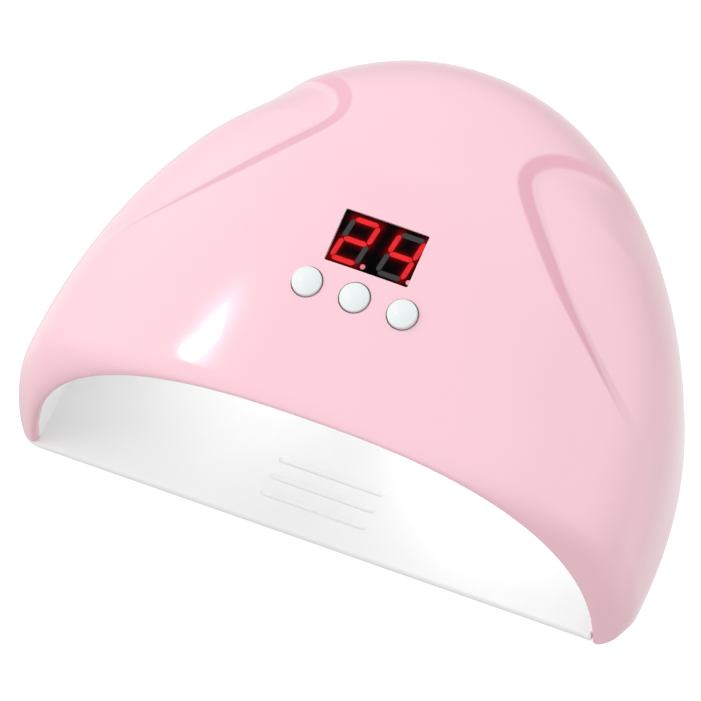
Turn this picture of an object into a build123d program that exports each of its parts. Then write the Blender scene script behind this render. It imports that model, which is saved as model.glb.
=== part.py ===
from build123d import *
import math
import os

os.makedirs("parts", exist_ok=True)

# A table-top lamp that cures gel nail polish: a domed shell over a white arched cavity
# for one hand, a flat base plate, a two-digit display and three push buttons.
# Millimetres. The origin is on the table under the middle of the lamp, +Z is up and
# the hand opening faces -Y. "s" is always a distance behind the front face.

# ---- driving dimensions -------------------------------------------------------------
DEPTH = 131.5                  # front face to the flat back face
FRONT = -DEPTH / 2             # y of the front face
SHELL_WIDTH = 190.0
SHELL_HEIGHT = 83.6
SHELL_POLE = 134.1             # where the dome would close behind the flat back face
WIDEST_AT = 13.0               # s of the widest section
FRONT_NARROWING = 5.0          # how much each side draws in again at the front face
FRONT_HEIGHT = 62.3            # crown of the front section
CREST_AT = 78.0                # s of the highest section
CREST_BEND = 0.36              # how softly the sloping top turns into the crest
BACK_POWER = 3.54
SIDE_POWER = 2.1               # superellipse powers of the shell's sections
TOP_POWER = 3.65
RIM_INSET = 1.8                # rounding of the front edge, inwards and backwards
RIM_DEPTH = 4.0
TUCK = 1.5                     # how far the lower edge turns in, over TUCK_HEIGHT
TUCK_HEIGHT = 8.0
WALL = 2.1
RIM_THICKNESS = 2.3

ARCH_HALF_WIDTH = 85.7         # the hand opening
ARCH_HEIGHT = 59.3
ARCH_POWER = 2.48
LINER_WALL = 1.2
LINER_POLE = 112.0
LINER_BACK = 106.0             # s of the cavity's back wall
LINER_DROP = 8.0               # how much lower the cavity is at its back

FOOT_RISE = 0.4                # gap under the base plate
PLATE_TOP = 2.6
LIP_DEPTH = 7.6
LIP_CORNER = 3.0
FIT_GAP = 0.3

PANEL_S = 34.3                 # the row of buttons, on the centre line
PANEL_Z = 74.3
PANEL_TILT = 16.94
BUTTON_PITCH = 14.6
BUTTON_RADIUS = 4.3
BUTTON_GAP = 0.4
BUTTON_RISE = 1.7
FLANGE_RADIUS = 5.7            # the button's flange, which keeps it in the shell
FLANGE_DEPTH = 2.6
DISPLAY_T = 16.0               # from the button row to the display, up the slope
WINDOW_WIDTH = 25.5
WINDOW_HEIGHT = 16.4
DISPLAY_WIDTH = 28.0           # the display module behind the window
DISPLAY_LENGTH = 19.0
DISPLAY_TOP = 1.6              # depth of the display's face below the shell's surface
BOARD_DEPTH = 8.7              # from the shell's surface to the control board
BOARD_THICKNESS = 1.6

BUTTON_BULGE = 1.1             # height of the button's domed top
FLANGE_THICKNESS = 0.9
STEM_RADIUS = 2.0
STEM_DEPTH = 3.4
PLUNGER_RADIUS = 1.7
PLUNGER_DEPTH = 4.35           # the plunger touches the stem here
PLUNGER_LENGTH = 2.2
SWITCH_SIZE = 6.0
SWITCH_DEPTH = 5.25

JACK_Z = 22.0                  # the DC power inlet, on the centre line of the back
JACK_BORE_RADIUS = 2.85
JACK_BARREL_RADIUS = 3.9
JACK_PIN_RADIUS = 1.0
JACK_SIZE = 11.0
JACK_PAD = 17.0                # the shell is thicker over this square
NUT_RADIUS = 5.6

LED_ROWS = {"front": 36.0, "middle": 62.0, "rear": 88.0}
LED_ANGLES = (22, 50, 90, 130, 158)
STRIP_WIDTH = 12.0
STRIP_GAP = 0.3
STRIP_THICKNESS = 0.75
STRIP_END = 14.0               # height of the strips' lower ends
LED_SIZE = 5.0
LED_LIFT = 0.05                # from the cavity's wall to the package
LED_THICKNESS = 1.3
LED_HOLE_RADIUS = 3.8
LENS_RADIUS = 2.9
LENS_HEIGHT = 0.9
BACK_LED_Z = 26.0
BACK_LED_PITCH = 15.0

SUNK_BORDER = [(98, 32), (83, 37), (61, 51), (45, 64), (30, 80.5),
               (26.5, 90), (31, 99), (42, 106), (58, 112.5)]   # x and s of the sunk panels' edge
SUNK_BEYOND = 99.0             # x outside the shell, where the cutting tools end
SUNK_DEPTH = 1.6
SUNK_SPREAD = 0.9              # the tools lean outwards, so that the step is a slope

CASE_POSTS = [(76.0, 70.0), (-76.0, 70.0), (30.0, 117.0), (-30.0, 117.0)]
LINER_POSTS = [(60.0, 92.0), (-60.0, 92.0)]
BOARD_POSTS = [(26.0, -5.5), (-26.0, -5.5), (26.0, 26.0), (-26.0, 26.0)]
CASE_POST_RADIUS = 3.5
LINER_POST_RADIUS = 3.0
BOARD_POST_RADIUS = 2.5
FEET = {"front_left": (-62.0, 16.0), "front_right": (62.0, 16.0),
        "rear_left": (-46.0, 100.0), "rear_right": (46.0, 100.0)}
FOOT_RADIUS = 5.0
FOOT_HEIGHT = 1.6

STANDING = (Align.CENTER, Align.CENTER, Align.MIN)
HANGING = (Align.CENTER, Align.CENTER, Align.MAX)

BELOW = -3.0                   # lofts start below the table and are cut to a flat face
SIDE_STEPS = (0.0, 0.16, 0.32, 0.48, 0.63, 0.77)
TOP_STEPS = (0.66, 0.5, 0.34, 0.17)
OUTER_STATIONS = (0.0, 0.7, 1.9, 4.0, 8.5, 16, 26, 38, 52, 66, 80, 92, 103, 112, 119, 125, 131.5)
INNER_STATIONS = (2.3, 8.5, 16, 26, 38, 52, 66, 80, 92, 103, 112, 119, 125, 129.4)
LINER_STATIONS = (2.4, 13, 26, 40, 54, 68, 80, 90, 98)


# ---- shape of the shell and of the cavity --------------------------------------------
def tuck(s, z):
    """How far the shell's lower edge is turned in at height z."""
    if z >= TUCK_HEIGHT:
        return 0.0
    return TUCK * (1 - z / TUCK_HEIGHT) ** 2 * s / (s + TUCK_HEIGHT)


def shell_half_width(s, inset=0.0):
    widest = SHELL_WIDTH / 2 - inset
    if s < WIDEST_AT:
        return widest - FRONT_NARROWING * (1 - s / WIDEST_AT) ** 2
    reach = (s - WIDEST_AT) / (SHELL_POLE - inset - WIDEST_AT)
    return widest * math.sqrt(1 - reach ** 2)


def shell_height(s, inset=0.0):
    top = SHELL_HEIGHT - inset
    if s < CREST_AT:
        reach = 1 - s / CREST_AT
        fall = math.hypot(reach, CREST_BEND) - CREST_BEND
        full = math.hypot(1, CREST_BEND) - CREST_BEND
        return top - (SHELL_HEIGHT - FRONT_HEIGHT) * fall / full
    reach = (s - CREST_AT) / (SHELL_POLE - inset - CREST_AT)
    return top * (1 - reach ** BACK_POWER) ** (1 / BACK_POWER)


def rim_rounding(s):
    """Inset of the outer surface where it rolls over the front edge."""
    if s >= RIM_DEPTH:
        return 0.0
    return RIM_INSET * (1 - math.sqrt(1 - (1 - s / RIM_DEPTH) ** 2))


def liner_half_width(s, grow=0.0):
    widest = ARCH_HALF_WIDTH + grow
    if s < WIDEST_AT:
        return widest
    reach = (s - WIDEST_AT) / (LINER_POLE + grow - WIDEST_AT)
    return widest * math.sqrt(1 - reach ** 2)


def liner_height(s, grow=0.0):
    return ARCH_HEIGHT + grow - LINER_DROP * (max(s, 0) / LINER_BACK) ** 1.5


def arch_face(s, half_width, height, side_power, top_power, tucked=False):
    """One section: half a superellipse on a straight base below the table."""
    def edge(z):
        return tuck(s, z) if tucked else 0.0
    side = [(half_width - edge(BELOW), BELOW)]
    for step in SIDE_STEPS:
        z = height * step
        side.append((half_width * (1 - step ** top_power) ** (1 / side_power) - edge(z), z))
    for step in TOP_STEPS:
        side.append((half_width * step, height * (1 - step ** side_power) ** (1 / top_power)))
    y = FRONT + s
    points = [Vector(x, y, z) for x, z in side]
    points.append(Vector(0, y, height))
    points += [Vector(-x, y, z) for x, z in reversed(side)]
    return Face(Wire([Edge.make_spline(points), Edge.make_line(points[-1], points[0])]))


def above(solid, z):
    """The part of a solid that is higher than z."""
    return solid & Pos(0, 0, z) * Box(400, 400, 200, align=STANDING)


def shell_body(stations, inset, floor_z):
    faces = []
    for s in stations:
        rounding = 0.0 if inset else rim_rounding(s)
        faces.append(arch_face(s, shell_half_width(s, inset) - rounding,
                               shell_height(s, inset) - rounding, SIDE_POWER, TOP_POWER, True))
    return above(loft(faces), floor_z)


def liner_body(stations, grow, floor_z):
    faces = [arch_face(s, liner_half_width(s, grow), liner_height(s, grow), ARCH_POWER, ARCH_POWER)
             for s in stations]
    return above(loft(faces), floor_z)


def post(x, s, bottom, radius, top=90.0):
    return Pos(x, FRONT + s, bottom) * Cylinder(radius, top - bottom, align=STANDING)


def on_panel(x, t, depth=0.0):
    """A place on the control panel: x across, t up the slope, depth into the lamp."""
    return Pos(0, FRONT + PANEL_S, PANEL_Z) * Rot(PANEL_TILT, 0, 0) * Pos(x, t, -depth)


def panel_block(x, t, width, length, depth, thickness):
    return on_panel(x, t, depth) * Box(width, length, thickness, align=HANGING)


def panel_disc(x, t, radius, depth, thickness):
    return on_panel(x, t, depth) * Cylinder(radius, thickness, align=HANGING)


def screw(shank_radius, head_radius, head_height, length):
    """A pan-head screw standing on its head, with a cross recess underneath."""
    body = Cylinder(head_radius, head_height, align=STANDING)
    body += Cylinder(shank_radius, head_height + length, align=STANDING)
    slot = Box(head_radius * 1.2, 0.6, head_height * 0.5, align=STANDING)
    return body - slot - Rot(0, 0, 90) * slot


OUTER = shell_body(OUTER_STATIONS, 0.0, 0.0)
INNER = shell_body(INNER_STATIONS, WALL, BELOW)
CAVITY = liner_body((-2.0,) + LINER_STATIONS + (LINER_BACK,), 0.0, BELOW)
LINER_SOLID = liner_body(LINER_STATIONS + (LINER_BACK + LINER_WALL,), LINER_WALL, PLATE_TOP + 0.1)


# ---- LEDs ------------------------------------------------------------------------------
def led_frame(angle, s):
    """Plane on the cavity's wall with its z axis pointing out of the cavity."""
    def point(a, at):
        cosine = math.cos(math.radians(a))
        x = liner_half_width(at) * math.copysign(abs(cosine) ** (2 / ARCH_POWER), cosine)
        z = liner_height(at) * math.sin(math.radians(a)) ** (2 / ARCH_POWER)
        return Vector(x, FRONT + at, z)
    along = point(angle, s + 1) - point(angle, s - 1)
    around = point(angle + 1, s) - point(angle - 1, s)
    return Plane(origin=point(angle, s), x_dir=along, z_dir=around.cross(along) * -1)


def led_frames():
    rows = {name: [led_frame(angle, s) for angle in LED_ANGLES] for name, s in LED_ROWS.items()}
    rows["back"] = [Plane(origin=(column * BACK_LED_PITCH, FRONT + LINER_BACK, BACK_LED_Z),
                          x_dir=(1, 0, 0), z_dir=(0, 1, 0)) for column in (-1, 0, 1)]
    return rows


LED_FRAMES = led_frames()
SENSOR_S = 14.0
SENSOR_X = 2.8


def led_package(frame):
    return frame.location * Pos(0, 0, LED_LIFT) * Box(LED_SIZE, LED_SIZE, LED_THICKNESS, align=STANDING)


def led_lens(frame):
    dome = Pos(0, 0, LENS_RADIUS - LENS_HEIGHT) * Sphere(LENS_RADIUS)
    dome &= Box(8, 8, 4, align=HANGING)
    return frame.location * dome


def led_strip(name):
    s = LED_ROWS[name]
    stations = (s - STRIP_WIDTH / 2, s, s + STRIP_WIDTH / 2)
    near = LINER_WALL + STRIP_GAP
    band = liner_body(stations, near + STRIP_THICKNESS, STRIP_END)
    return band - liner_body(stations, near, BELOW)


def led_back_board():
    at = FRONT + LINER_BACK + LINER_WALL + STRIP_GAP
    return Pos(0, at, BACK_LED_Z) * Box(46, 1.2, 12, align=(Align.CENTER, Align.MIN, Align.CENTER))


# ---- casing ------------------------------------------------------------------------------
def side_panels():
    """The two shallow sunk panels on the shoulders of the shell, as cutting tools."""
    tools = []
    for side in (1, -1):
        points = [Vector(side * x, FRONT + s, 0) for x, s in SUNK_BORDER]
        far = [Vector(side * SUNK_BEYOND, points[end].Y, 0) for end in (-1, 0)]
        edges = [Edge.make_spline(points), Edge.make_line(points[-1], far[0]),
                 Edge.make_line(far[0], far[1]), Edge.make_line(far[1], points[0])]
        prism = extrude(Face(Wire(edges)), SHELL_HEIGHT + 1, dir=(0, 0, 1))
        tools.append((OUTER & prism) - Pos(side * SUNK_SPREAD, 0, -SUNK_DEPTH) * OUTER)
    return tools


def outer_shell():
    shell = OUTER - INNER
    shell -= extrude(arch_face(-1.0, ARCH_HALF_WIDTH, ARCH_HEIGHT, ARCH_POWER, ARCH_POWER),
                     RIM_THICKNESS + 2, dir=(0, 1, 0))
    left_half = (Align.MAX, Align.MIN, Align.CENTER)
    shell -= Pos(0, FRONT - 1, 0) * Box(
        SHELL_WIDTH, LIP_DEPTH + 1.2, (PLATE_TOP + 0.2) * 2, align=left_half)
    posts = []
    for x, s in CASE_POSTS:
        posts.append(post(x, s, PLATE_TOP + 0.2, CASE_POST_RADIUS) & OUTER)
    for x, s in LINER_POSTS:
        posts.append(post(x, s, 6.0, LINER_POST_RADIUS) & OUTER)
    for x, t in BOARD_POSTS:
        posts.append(panel_disc(x, t, BOARD_POST_RADIUS, -5, BOARD_DEPTH + 5) & OUTER)
    pad = Pos(0, FRONT + DEPTH - WALL + 0.5, JACK_Z) * Box(
        JACK_PAD, 2.5, JACK_PAD, align=(Align.CENTER, Align.MAX, Align.CENTER))
    shell = shell + posts + pad
    for x, s in CASE_POSTS:
        shell -= post(x, s, 0, 1.3, 15.0)
    for x, s in LINER_POSTS:
        shell -= post(x, s, 0, 1.05, 14.0)
    for x, t in BOARD_POSTS:
        shell -= panel_disc(x, t, 0.8, BOARD_DEPTH - 4.5, 6)
    shell -= panel_block(0, DISPLAY_T, WINDOW_WIDTH, WINDOW_HEIGHT, -6, 12)
    shell -= panel_block(0, DISPLAY_T, DISPLAY_WIDTH + 2 * FIT_GAP, DISPLAY_LENGTH + 2 * FIT_GAP,
                         DISPLAY_TOP - 0.05, 5)
    for x in (-BUTTON_PITCH, 0, BUTTON_PITCH):
        shell -= panel_disc(x, 0, BUTTON_RADIUS + BUTTON_GAP, -6, 12)
        shell -= panel_disc(x, 0, FLANGE_RADIUS + 0.5, FLANGE_DEPTH - FIT_GAP, 3)
    back = Pos(0, FRONT + DEPTH, JACK_Z) * Rot(90, 0, 0)
    shell -= back * Cylinder(JACK_BARREL_RADIUS + 0.1, 20)
    shell -= back * Cylinder(NUT_RADIUS + 0.4, 3.6)
    for tool in side_panels():
        shell -= tool
    return shell


def inner_liner():
    liner = LINER_SOLID - CAVITY
    for x, s in LINER_POSTS:
        tab = Pos(x * 0.95, FRONT + s, PLATE_TOP + 0.1) * Box(
            15, 9, 3.1, align=STANDING)
        liner += tab - CAVITY
    for x, s in LINER_POSTS:
        liner -= post(x, s, 0, 1.2, 8.0)
        liner -= post(x, s, 0, 2.6, PLATE_TOP + 1.5)
    for frames in LED_FRAMES.values():
        for frame in frames:
            liner -= frame.location * Cylinder(LED_HOLE_RADIUS, 8)
    for x in (-SENSOR_X, SENSOR_X):
        liner -= post(x, SENSOR_S, 50, 1.7, 70)
    return liner


def plate_outline():
    """Plan of the base plate inside the shell's wall."""
    stations = (2.4, 8.5, 20, 36, 52, 68, 82, 94, 104, 113, 120, 125.5, 129.1)
    right = []
    for s in stations:
        right.append(Vector(shell_half_width(s, WALL) - tuck(s, 0) - FIT_GAP, FRONT + s))
    left = [Vector(-p.X, p.Y) for p in right]
    return Face(Wire([Edge.make_spline(right), Edge.make_line(right[-1], left[-1]),
                      Edge.make_spline(left), Edge.make_line(left[0], right[0])]))


def lip_outline():
    """Plan of the plate's front lip. It reaches out under the end of the shell's left leg and
    stops against the right leg, which comes down in front of it."""
    left = []
    for s in (0.0, 0.3, 1.0, 2.2, 4.5, LIP_DEPTH):
        x = shell_half_width(s) - rim_rounding(s) - tuck(s, 0) - 0.4
        if s < LIP_CORNER:
            x -= LIP_CORNER - math.sqrt(LIP_CORNER ** 2 - (LIP_CORNER - s) ** 2)
        left.append(Vector(-x, FRONT + s))
    end = ARCH_HALF_WIDTH - FIT_GAP
    front, back = Vector(end, FRONT), Vector(end, FRONT + LIP_DEPTH)
    return Face(Wire([Edge.make_spline(left), Edge.make_line(left[-1], back),
                      Edge.make_line(back, front), Edge.make_line(front, left[0])]))


RIB_X = -4.0
RIB_LENGTH = 32.5
RIB_RADIUS = 0.9
RIB_HEIGHT = 0.7
RIB_PITCH = 6.2
FIRST_RIB = 9.5
VENT_LENGTH = 9.0
VENT_WIDTH = 2.0
VENT_PITCH = 4.5
VENT_S = 117.5
LABEL_THICKNESS = 0.15


def base_plate():
    plate = extrude(plate_outline(), PLATE_TOP - FOOT_RISE, dir=(0, 0, 1))
    plate += extrude(lip_outline(), PLATE_TOP - FOOT_RISE, dir=(0, 0, 1))
    plate = Pos(0, 0, FOOT_RISE) * plate
    for row in range(3):
        rib = SlotCenterToCenter(RIB_LENGTH - 2 * RIB_RADIUS, 2 * RIB_RADIUS)
        raised = extrude(rib, RIB_HEIGHT + 0.5)
        raised = fillet(raised.faces().sort_by(Axis.Z)[-1].edges(), 0.55)
        plate += Pos(RIB_X, FRONT + FIRST_RIB + row * RIB_PITCH, PLATE_TOP - 0.5) * raised
    for x, s in FEET.values():
        plate -= post(x, s, 0, FOOT_RADIUS + 0.2, FOOT_HEIGHT)
    for x, s in CASE_POSTS:
        plate -= post(x, s, 0, 1.6, 5)
        plate -= post(x, s, 0, 3.0, 1.8)
    vent = extrude(Rot(0, 0, 90) * SlotOverall(VENT_LENGTH, VENT_WIDTH), 6)
    for column in range(-3, 4):
        plate -= Pos(column * VENT_PITCH, FRONT + VENT_S, 0) * vent
    return plate


def rating_label():
    face = RectangleRounded(52, 26, 2)
    return Pos(0, FRONT + 62, FOOT_RISE - LABEL_THICKNESS) * extrude(face, LABEL_THICKNESS)


# ---- display -------------------------------------------------------------------------------
DIGIT_WIDTH = 7.5              # between the centre lines of the upright segments
DIGIT_HALF = 6.29              # between the centre lines of the level segments
DIGIT_PITCH = 14.0
DIGIT_SHIFT = 0.23
DIGIT_SLANT = 9.5
STROKE = 1.5
SEGMENT_GAP = 0.16
POINT_X = 4.92
POINT_T = -6.35
POINT_RADIUS = 0.9
SEGMENT_THICKNESS = 0.3
PIN_PITCH = 2.54
PIN_ROW = 7.62                 # of each row of pins from the display's centre line
PIN_RADIUS = 0.25
PIN_COLUMNS = range(-2, 3)
LIT = ("abged", "fgbc")        # the digits 2 and 4


def segment(name):
    """Outline of one segment, a bar with pointed ends, about the digit's centre."""
    half = DIGIT_WIDTH / 2
    ends = {"a": ((-half, DIGIT_HALF), (half, DIGIT_HALF)), "g": ((-half, 0), (half, 0)),
            "d": ((-half, -DIGIT_HALF), (half, -DIGIT_HALF)), "f": ((-half, 0), (-half, DIGIT_HALF)),
            "b": ((half, 0), (half, DIGIT_HALF)), "e": ((-half, -DIGIT_HALF), (-half, 0)),
            "c": ((half, -DIGIT_HALF), (half, 0))}
    start, end = (Vector(*p) for p in ends[name])
    along = (end - start).normalized()
    across = Vector(-along.Y, along.X) * (STROKE / 2)
    start += along * SEGMENT_GAP
    end -= along * SEGMENT_GAP
    shoulder = along * (STROKE / 2)
    corners = [start, start + shoulder + across, end - shoulder + across,
               end, end - shoulder - across, start + shoulder - across]
    lean = math.tan(math.radians(DIGIT_SLANT))
    return [(p.X + p.Y * lean, p.Y) for p in corners]


def segment_solids(lit):
    solids = []
    for digit in range(2):
        x = DIGIT_SHIFT + (digit - 0.5) * DIGIT_PITCH
        for name in "abcdefg":
            if (name in LIT[digit]) == lit:
                bar = extrude(make_face(Polyline(*segment(name), close=True)), -SEGMENT_THICKNESS)
                solids.append(on_panel(x, DISPLAY_T, DISPLAY_TOP) * bar)
    return solids


def display_points():
    return [panel_disc(DIGIT_SHIFT + (digit - 0.5) * DIGIT_PITCH + POINT_X,
                       DISPLAY_T + POINT_T, POINT_RADIUS, DISPLAY_TOP, SEGMENT_THICKNESS)
            for digit in range(2)]


def display_housing():
    housing = panel_block(0, DISPLAY_T, DISPLAY_WIDTH, DISPLAY_LENGTH,
                          DISPLAY_TOP, BOARD_DEPTH - DISPLAY_TOP)
    for piece in segment_solids(True) + segment_solids(False) + display_points():
        housing -= piece
    return housing


def display_pins():
    return [panel_disc(column * PIN_PITCH, DISPLAY_T + row * PIN_ROW, PIN_RADIUS, BOARD_DEPTH, 2.9)
            for row in (-1, 1) for column in PIN_COLUMNS]


# ---- buttons and control board ---------------------------------------------------------------
def button_cap(x):
    """Domed cap, its flange under the shell and the stem that meets the switch."""
    dome_radius = (BUTTON_RADIUS ** 2 + BUTTON_BULGE ** 2) / (2 * BUTTON_BULGE)
    top = on_panel(x, 0, dome_radius - BUTTON_RISE) * Sphere(dome_radius)
    cap = panel_disc(x, 0, BUTTON_RADIUS, -3, 6.4) & top
    cap += panel_disc(x, 0, FLANGE_RADIUS, FLANGE_DEPTH, FLANGE_THICKNESS)
    return cap + panel_disc(x, 0, STEM_RADIUS, STEM_DEPTH, 0.9)


def switch_plunger(x):
    return panel_disc(x, 0, PLUNGER_RADIUS, PLUNGER_DEPTH, PLUNGER_LENGTH)


def switch_body(x):
    body = panel_block(x, 0, SWITCH_SIZE, SWITCH_SIZE, SWITCH_DEPTH, BOARD_DEPTH - SWITCH_DEPTH)
    return body - panel_disc(x, 0, PLUNGER_RADIUS + 0.1, SWITCH_DEPTH - 0.25, 2.8)


def control_board():
    board = panel_block(0, 10.5, 60, 39, BOARD_DEPTH, BOARD_THICKNESS)
    for x, t in BOARD_POSTS:
        board -= panel_disc(x, t, 1.2, BOARD_DEPTH - 1, 4)
    for row in (-1, 1):
        for column in PIN_COLUMNS:
            board -= panel_disc(column * PIN_PITCH, DISPLAY_T + row * PIN_ROW, 0.4, BOARD_DEPTH - 1, 4)
    return board


UNDER_BOARD = BOARD_DEPTH + BOARD_THICKNESS
CHIP_X = 21.0                  # the chips, and the coil and the capacitor behind them
CHIP_T = 16.0
POWER_T = 12.0
RESISTOR_X = 19.5
CONNECTOR_T = 26.75
CONNECTOR_X = 18.0


def chip(x, t, width, length):
    body = panel_block(x, t, width, length, BOARD_DEPTH - 1.5, 1.3)
    legs = []
    for side in (-1, 1):
        for row in range(4):
            at = t + (row - 1.5) * length / 4.5
            legs.append(panel_block(x + side * (width / 2 + 0.3), at, 0.6, 0.5, BOARD_DEPTH - 1.2, 1.2))
    return body + legs


def filter_capacitor():
    foot = 0.8
    can = panel_disc(-CHIP_X, POWER_T, 3.15, UNDER_BOARD + foot, 6.2)
    return can + panel_block(-CHIP_X, POWER_T, 6.6, 6.6, UNDER_BOARD, foot)


def power_inductor():
    core = panel_block(CHIP_X, POWER_T, 7.0, 7.0, UNDER_BOARD, 3.6)
    return core - panel_disc(CHIP_X, POWER_T, 1.4, UNDER_BOARD + 2.6, 2)


def signal_resistors():
    thickness = 0.55
    return [panel_block(x, 4.0 + 3.0 * row, 2.0, 1.25, BOARD_DEPTH - thickness, thickness)
            for x in (-RESISTOR_X, RESISTOR_X) for row in range(2)]


def connector(x):
    body = panel_block(x, CONNECTOR_T, 8.0, 5.5, UNDER_BOARD, 5.0)
    return body - panel_block(x, 29.5, 5.6, 4.0, UNDER_BOARD + 0.9, 3.2)


def board_screws():
    return [on_panel(x, t, UNDER_BOARD + 1.4) * screw(0.75, 2.1, 1.4, 5.0) for x, t in BOARD_POSTS]


# ---- motion sensor, jack, leads ----------------------------------------------------------------
SENSOR_Z = 61.2
EYE_LOWEST = 58.1


def sensor_board():
    return Pos(0, FRONT + SENSOR_S, SENSOR_Z) * Box(13, 6, 1.0, align=STANDING)


def sensor_eye(x):
    radius = 1.5
    centre = Pos(x, FRONT + SENSOR_S, EYE_LOWEST + radius)
    barrel = Cylinder(radius, SENSOR_Z - EYE_LOWEST - radius, align=STANDING)
    return centre * barrel + centre * Sphere(radius)


JACK_FACE = DEPTH - 0.2        # s of the jack's mouth
JACK_SHOULDER = DEPTH - WALL - 2.0
JACK_REAR = 115.4
JACK_BORE_DEPTH = 10.5
PIN_TIP = DEPTH - 2.4


def jack_rod(radius, start, end):
    return Pos(0, FRONT + (start + end) / 2, JACK_Z) * Rot(90, 0, 0) * Cylinder(radius, end - start)


def dc_jack_housing():
    block = Pos(0, FRONT + (JACK_SHOULDER + JACK_REAR) / 2, JACK_Z) * Box(
        JACK_SIZE, JACK_SHOULDER - JACK_REAR, JACK_SIZE)
    housing = block + jack_rod(JACK_BARREL_RADIUS, JACK_SHOULDER - 1, JACK_FACE)
    housing -= jack_rod(JACK_BORE_RADIUS, DEPTH - JACK_BORE_DEPTH, DEPTH + 1)
    return housing - jack_rod(JACK_PIN_RADIUS, JACK_REAR + 1, DEPTH - 9)


def dc_jack_pin():
    pin = jack_rod(JACK_PIN_RADIUS, JACK_REAR + 1, PIN_TIP)
    return pin + Pos(0, FRONT + PIN_TIP, JACK_Z) * Sphere(JACK_PIN_RADIUS)


def dc_jack_contact():
    return Pos(0, FRONT + DEPTH - 6, JACK_Z - 2.5) * Box(1.6, 7, 0.35)


def jack_nut():
    ring = jack_rod(NUT_RADIUS, DEPTH - 1.75, JACK_FACE)
    ring -= jack_rod(JACK_BARREL_RADIUS + 0.1, DEPTH - 3, DEPTH + 1)
    for turn in range(2):
        ring -= Pos(0, FRONT + DEPTH, JACK_Z) * Rot(0, 90 * turn, 0) * Box(14, 1.2, 1.2)
    return ring


WIRE_RADIUS = 0.65
WIRE_DEPTH = 2.5               # from the board's underside to the wires' ends
POWER_DROP = 111.6             # s of the power leads' drop behind the cavity
LED_DROP = 88.0                # s where the LED leads come down to the rear strip


def lead(x, route, bend):
    """A round insulated wire in an upright plane through x."""
    path = FilletPolyline(*[(x, FRONT + s, z) for s, z in route], radius=bend)
    section = Plane(origin=path @ 0, z_dir=path % 0) * Circle(WIRE_RADIUS)
    return sweep(section, path=path)


def leave_connector(length):
    """The first run of a lead: out of its connector, parallel to the board."""
    start = on_panel(0, 27.6, UNDER_BOARD + WIRE_DEPTH).position
    s, z = start.Y - FRONT, start.Z
    return [(s, z), (s + length, z + length * math.tan(math.radians(PANEL_TILT)))]


def power_lead(x):
    route = leave_connector(13) + [(POWER_DROP, 62), (POWER_DROP, JACK_Z), (JACK_REAR - 0.1, JACK_Z)]
    return lead(x, route, 2.4)


def led_lead(x):
    return lead(x, leave_connector(9) + [(LED_DROP, 65), (LED_DROP, 55.2)], 3.0)


# ---- write every piece -------------------------------------------------------------------------
SIDES = {"left": -BUTTON_PITCH, "middle": 0.0, "right": BUTTON_PITCH}
nodes = {
    "outer_shell": outer_shell(),
    "inner_liner": inner_liner(),
    "base_plate": base_plate(),
    "rating_label": rating_label(),
    "case_screws": [Pos(x, FRONT + s, 0.5) * screw(1.25, 2.8, 1.3, 11.0) for x, s in CASE_POSTS],
    "liner_screws": [Pos(x, FRONT + s, 2.8) * screw(1.0, 2.4, 1.25, 8.5) for x, s in LINER_POSTS],
    "board_screws": board_screws(),
    "display_housing": display_housing(),
    "display_lit_segments": segment_solids(True),
    "display_dark_segments": segment_solids(False),
    "display_points": display_points(),
    "display_pins": display_pins(),
    "control_board": control_board(),
    "controller_chip": chip(CHIP_X, CHIP_T, 4.0, 9.0),
    "led_driver_chip": chip(-CHIP_X, CHIP_T, 4.0, 5.0),
    "filter_capacitor": filter_capacitor(),
    "power_inductor": power_inductor(),
    "signal_resistors": signal_resistors(),
    "power_connector": connector(0),
    "led_connector_left": connector(-CONNECTOR_X),
    "led_connector_right": connector(CONNECTOR_X),
    "led_board_back": led_back_board(),
    "sensor_board": sensor_board(),
    "sensor_emitter": sensor_eye(-SENSOR_X),
    "sensor_receiver": sensor_eye(SENSOR_X),
    "dc_jack_housing": dc_jack_housing(),
    "dc_jack_pin": dc_jack_pin(),
    "dc_jack_contact": dc_jack_contact(),
    "jack_nut": jack_nut(),
    "power_lead_positive": power_lead(1.6),
    "power_lead_negative": power_lead(-1.6),
    "led_lead_left": led_lead(-CONNECTOR_X),
    "led_lead_right": led_lead(CONNECTOR_X),
}
for name, (x, s) in FEET.items():
    nodes[f"foot_{name}"] = post(x, s, 0, FOOT_RADIUS, FOOT_HEIGHT)
for name in LED_ROWS:
    nodes[f"led_strip_{name}"] = led_strip(name)
for name, frames in LED_FRAMES.items():
    nodes[f"led_packages_{name}"] = [led_package(frame) for frame in frames]
    nodes[f"led_lenses_{name}"] = [led_lens(frame) for frame in frames]
for name, x in SIDES.items():
    nodes[f"button_cap_{name}"] = button_cap(x)
    nodes[f"switch_plunger_{name}"] = switch_plunger(x)
    nodes[f"switch_body_{name}"] = switch_body(x)

for name, piece in nodes.items():
    if isinstance(piece, list):
        piece = Compound([solid for part in piece for solid in part.solids()])
    export_step(piece, f"parts/{name}.step")
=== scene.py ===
import math

import bmesh
import bpy
import numpy as np
from mathutils import Matrix, Vector


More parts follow.
